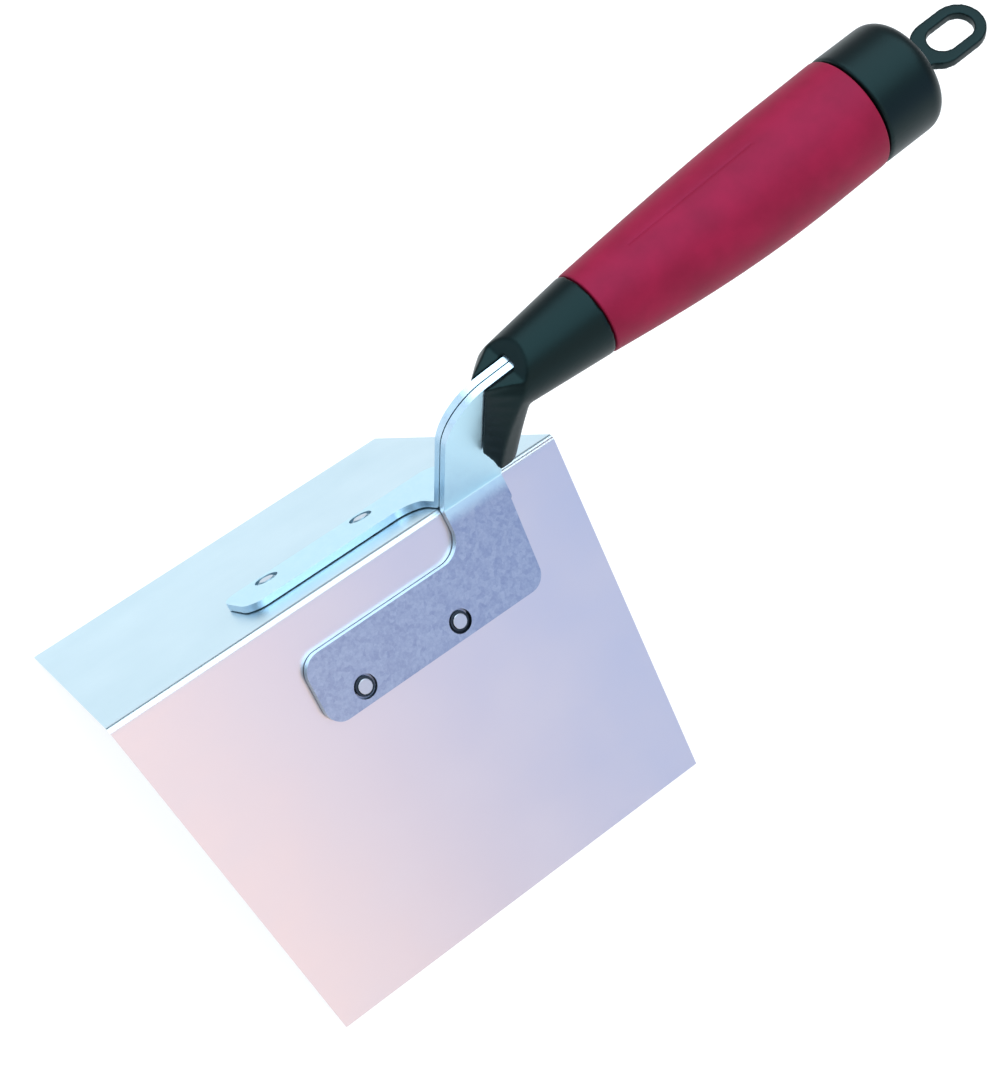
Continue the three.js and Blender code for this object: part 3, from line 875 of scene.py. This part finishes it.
class TROWEL_OT_cap(bpy.types.Operator):
    """Make the end cap with its hang loop"""

    bl_idname = "trowel.cap"
    bl_label = "End cap and loop"

    def execute(self, context):
        sizes = context.scene.trowel_sizes
        cap = self.make_cap(sizes.cap_corner / MM)
        loop = self.make_loop(sizes.loop_edge)
        apply_modifier(cap, "BOOLEAN", operation="UNION", object=loop, solver="EXACT")
        bpy.data.objects.remove(loop)
        apply_modifier(cap, "REMESH", mode="VOXEL", voxel_size=CAP_VOXEL * MM, adaptivity=0.0)
        apply_modifier(cap, "SMOOTH", factor=0.5, iterations=CAP_SMOOTHINGS)
        smooth(cap, 60)
        settle(
            cap, ["end_cap"],
            finish_named("moulded_polypropylene", moulded_plastic),
        )
        return {"FINISHED"}

    def make_cap(self, corner):
        """The turned cup that closes the grip."""
        edge = 0.5
        rings = [(SOCKET_FLOOR, CENTRE_RADIUS, 0.0), (SOCKET_FLOOR, SOCKET_RADIUS, 0.0)]
        rings += [(CAP_FRONT, SOCKET_RADIUS, 0.0), (CAP_FRONT, CAP_RADIUS - edge, 0.0)]
        rings += [(CAP_FRONT + edge, CAP_RADIUS, 0.0)]
        centre = (CAP_BACK - corner, CAP_RADIUS - corner)
        for s, r in rounded(centre, math.pi / 2, 0, corner, steps=10):
            rings.append((s, r, 0.0))
        rings.append((CAP_BACK, CENTRE_RADIUS, 0.0))
        cap = ring_start("moulded_cap", rings[0][0], rings[0][1], CAP_SIDES)
        pull_rings(rings)
        close_turned(cap, 0.06)
        return cap

    def make_loop(self, edge):
        """The flat oval loop on its short stem."""
        loop = self.oval("loop", LOOP_NEAR, LOOP_FAR, LOOP_WIDTH, LOOP_THICKNESS)
        stem_start, stem_end = CAP_BACK - 1.5, LOOP_NEAR + 2.0
        stem = self.bar("stem", stem_start, stem_end, LOOP_STEM, LOOP_THICKNESS)
        apply_modifier(loop, "BOOLEAN", operation="UNION", object=stem, solver="EXACT")
        bpy.data.objects.remove(stem)
        near, far = LOOP_NEAR + LOOP_NEAR_WALL, LOOP_FAR - LOOP_WALL
        eye = self.oval("eye", near, far, LOOP_WIDTH - 2 * LOOP_WALL, 3 * LOOP_THICKNESS)
        apply_modifier(loop, "BOOLEAN", operation="DIFFERENCE", object=eye, solver="EXACT")
        bpy.data.objects.remove(eye)
        round_edges(loop, edge, angle=50)
        return loop

    def oval(self, name, near, far, width, thickness):
        """A flat round-ended plate, made from a disc pulled apart along the handle."""
        deselect_all()
        radius = width / 2
        bpy.ops.mesh.primitive_cylinder_add(
            vertices=64, radius=radius * MM, depth=thickness * MM,
            location=on_axis(near + radius), rotation=(0, -RISE, 0),
        )
        plate = bpy.context.object
        plate.name = name
        bpy.ops.object.transform_apply(location=True, rotation=True, scale=True)
        middle = on_axis(near + radius)
        edit(plate)
        choose_vertices(plate, lambda place: (place - middle).dot(ALONG) > 0.01 * MM)
        bpy.ops.transform.translate(value=ALONG * (far - near - width) * MM)
        leave_edit()
        return plate

    def bar(self, name, start, end, width, thickness):
        """A flat bar along the handle."""
        deselect_all()
        bpy.ops.mesh.primitive_cube_add(
            size=1, location=on_axis((start + end) / 2), rotation=(0, -RISE, 0),
        )
        block = bpy.context.object
        block.name = name
        block.scale = ((end - start) * MM, width * MM, thickness * MM)
        bpy.ops.object.transform_apply(location=True, rotation=True, scale=True)
        return block


FLOOR_DROP = 0.02  # of the floor below the blade's edges, in mm
CAMERA_PLACE = Vector((-0.24040, -0.24443, 0.52586))
CAMERA_RIGHT = Vector((0.76586633, -0.6422973, 0.03004897))
CAMERA_UP = Vector((0.5184571, 0.64449285, 0.56198862))
CAMERA_BACK = Vector((-0.38033011, -0.41482906, 0.82659897))
CAMERA_LENS = 87.24


class TROWEL_OT_stage(bpy.types.Operator):
    """Make the floor, the lights and the camera"""

    bl_idname = "trowel.stage"
    bl_label = "Studio"

    def execute(self, context):
        self.floor(context.scene.trowel_sizes.floor_size)
        self.world(context.scene)
        self.lights()
        self.camera(context.scene)
        context.scene.view_settings.view_transform = "Standard"
        context.scene.view_settings.look = "None"
        return {"FINISHED"}

    def floor(self, size):
        """A plain sheet of white paper."""
        deselect_all()
        bpy.ops.mesh.primitive_plane_add(size=size, location=(0, 0, -FLOOR_DROP * MM))
        floor = bpy.context.object
        floor.name = "studio_floor"
        bpy.ops.object.transform_apply(location=True, rotation=True, scale=True)
        floor.data.materials.append(studio_paper())

    def world(self, scene):
        """Dim even light from all round."""
        world = bpy.data.worlds.new("studio_room")
        world.use_nodes = True
        sky = world.node_tree.nodes["Background"]
        sky.inputs["Color"].default_value = linear("#E9F1FB")
        sky.inputs["Strength"].default_value = 0.32
        scene.world = world

    def lights(self):
        """A broad light overhead, and low panels: a warm and a cool one facing the -Y flange."""
        panels = (
            ("overhead", (0.1, 0.1, 1.5), (2.4, 2.4), 54.0, "#EAF8FF"),
            ("warm_panel", (-0.1, -1.5, 0.6), (1.0, 1.3), 5.7, "#FFD9C9"),
            ("cool_panel", (0.85, -1.4, 0.6), (0.9, 1.3), 2.9, "#A4C3FF"),
            ("left_panel", (-1.5, 0.7, 0.72), (1.2, 1.2), 6.0, "#E4F2FF"),
        )
        for name, place, size, power, tint in panels:
            deselect_all()
            bpy.ops.object.light_add(type="AREA", location=place)
            light = bpy.context.object
            light.name = name
            light.data.shape = "RECTANGLE"
            light.data.size, light.data.size_y = size
            light.data.energy = power
            light.data.color = linear(tint)[:3]
            aim = Vector(place) - Vector((0, 0, 0.06))
            light.rotation_euler = aim.to_track_quat("Z", "Y").to_euler()

    def camera(self, scene):
        """The viewing place, above the left front of the blade."""
        deselect_all()
        bpy.ops.object.camera_add()
        camera = bpy.context.object
        camera.name = "studio_camera"
        turn = Matrix((CAMERA_RIGHT, CAMERA_UP, CAMERA_BACK)).transposed().to_4x4()
        camera.matrix_world = Matrix.Translation(CAMERA_PLACE) @ turn
        camera.data.sensor_fit = "HORIZONTAL"
        camera.data.sensor_width = 36
        camera.data.lens = CAMERA_LENS
        camera.data.clip_start = 0.01
        camera.data.clip_end = 50
        camera.data.dof.use_dof = False
        scene.camera = camera


PIECE_OPERATORS = (
    TROWEL_OT_blade, TROWEL_OT_bracket, TROWEL_OT_rivets, TROWEL_OT_pins,
    TROWEL_OT_core, TROWEL_OT_grip, TROWEL_OT_cap, TROWEL_OT_stage,
)


class TROWEL_PT_sidebar(bpy.types.Panel):
    """Lists the trowel's settings and pieces"""

    bl_idname = "TROWEL_PT_sidebar"
    bl_label = "Corner Trowel"
    bl_space_type = "VIEW_3D"
    bl_region_type = "UI"
    bl_category = "Trowel"

    def draw(self, context):
        layout = self.layout
        for group in (context.scene.trowel_sizes, context.scene.trowel_colours):
            column = layout.column(align=True)
            for name in group.bl_rna.properties.keys():
                if name not in ("rna_type", "name"):
                    column.prop(group, name)
        for operator in PIECE_OPERATORS:
            layout.operator(operator.bl_idname)


CLASSES = (TrowelSizes, TrowelColours, *PIECE_OPERATORS, TROWEL_PT_sidebar)


def register():
    for item in CLASSES:
        bpy.utils.register_class(item)
    bpy.types.Scene.trowel_sizes = bpy.props.PointerProperty(type=TrowelSizes)
    bpy.types.Scene.trowel_colours = bpy.props.PointerProperty(type=TrowelColours)


def unregister():
    del bpy.types.Scene.trowel_colours
    del bpy.types.Scene.trowel_sizes
    for item in reversed(CLASSES):
        bpy.utils.unregister_class(item)


def main():
    """Builds the tool and its studio."""
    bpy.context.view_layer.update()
    register()
    bpy.ops.trowel.stage()
    bpy.ops.trowel.blade()
    bpy.ops.trowel.bracket()
    bpy.ops.trowel.rivets()
    bpy.ops.trowel.pins()
    bpy.ops.trowel.core()
    bpy.ops.trowel.grip()
    bpy.ops.trowel.cap()


if __name__ == "__main__":
    main()
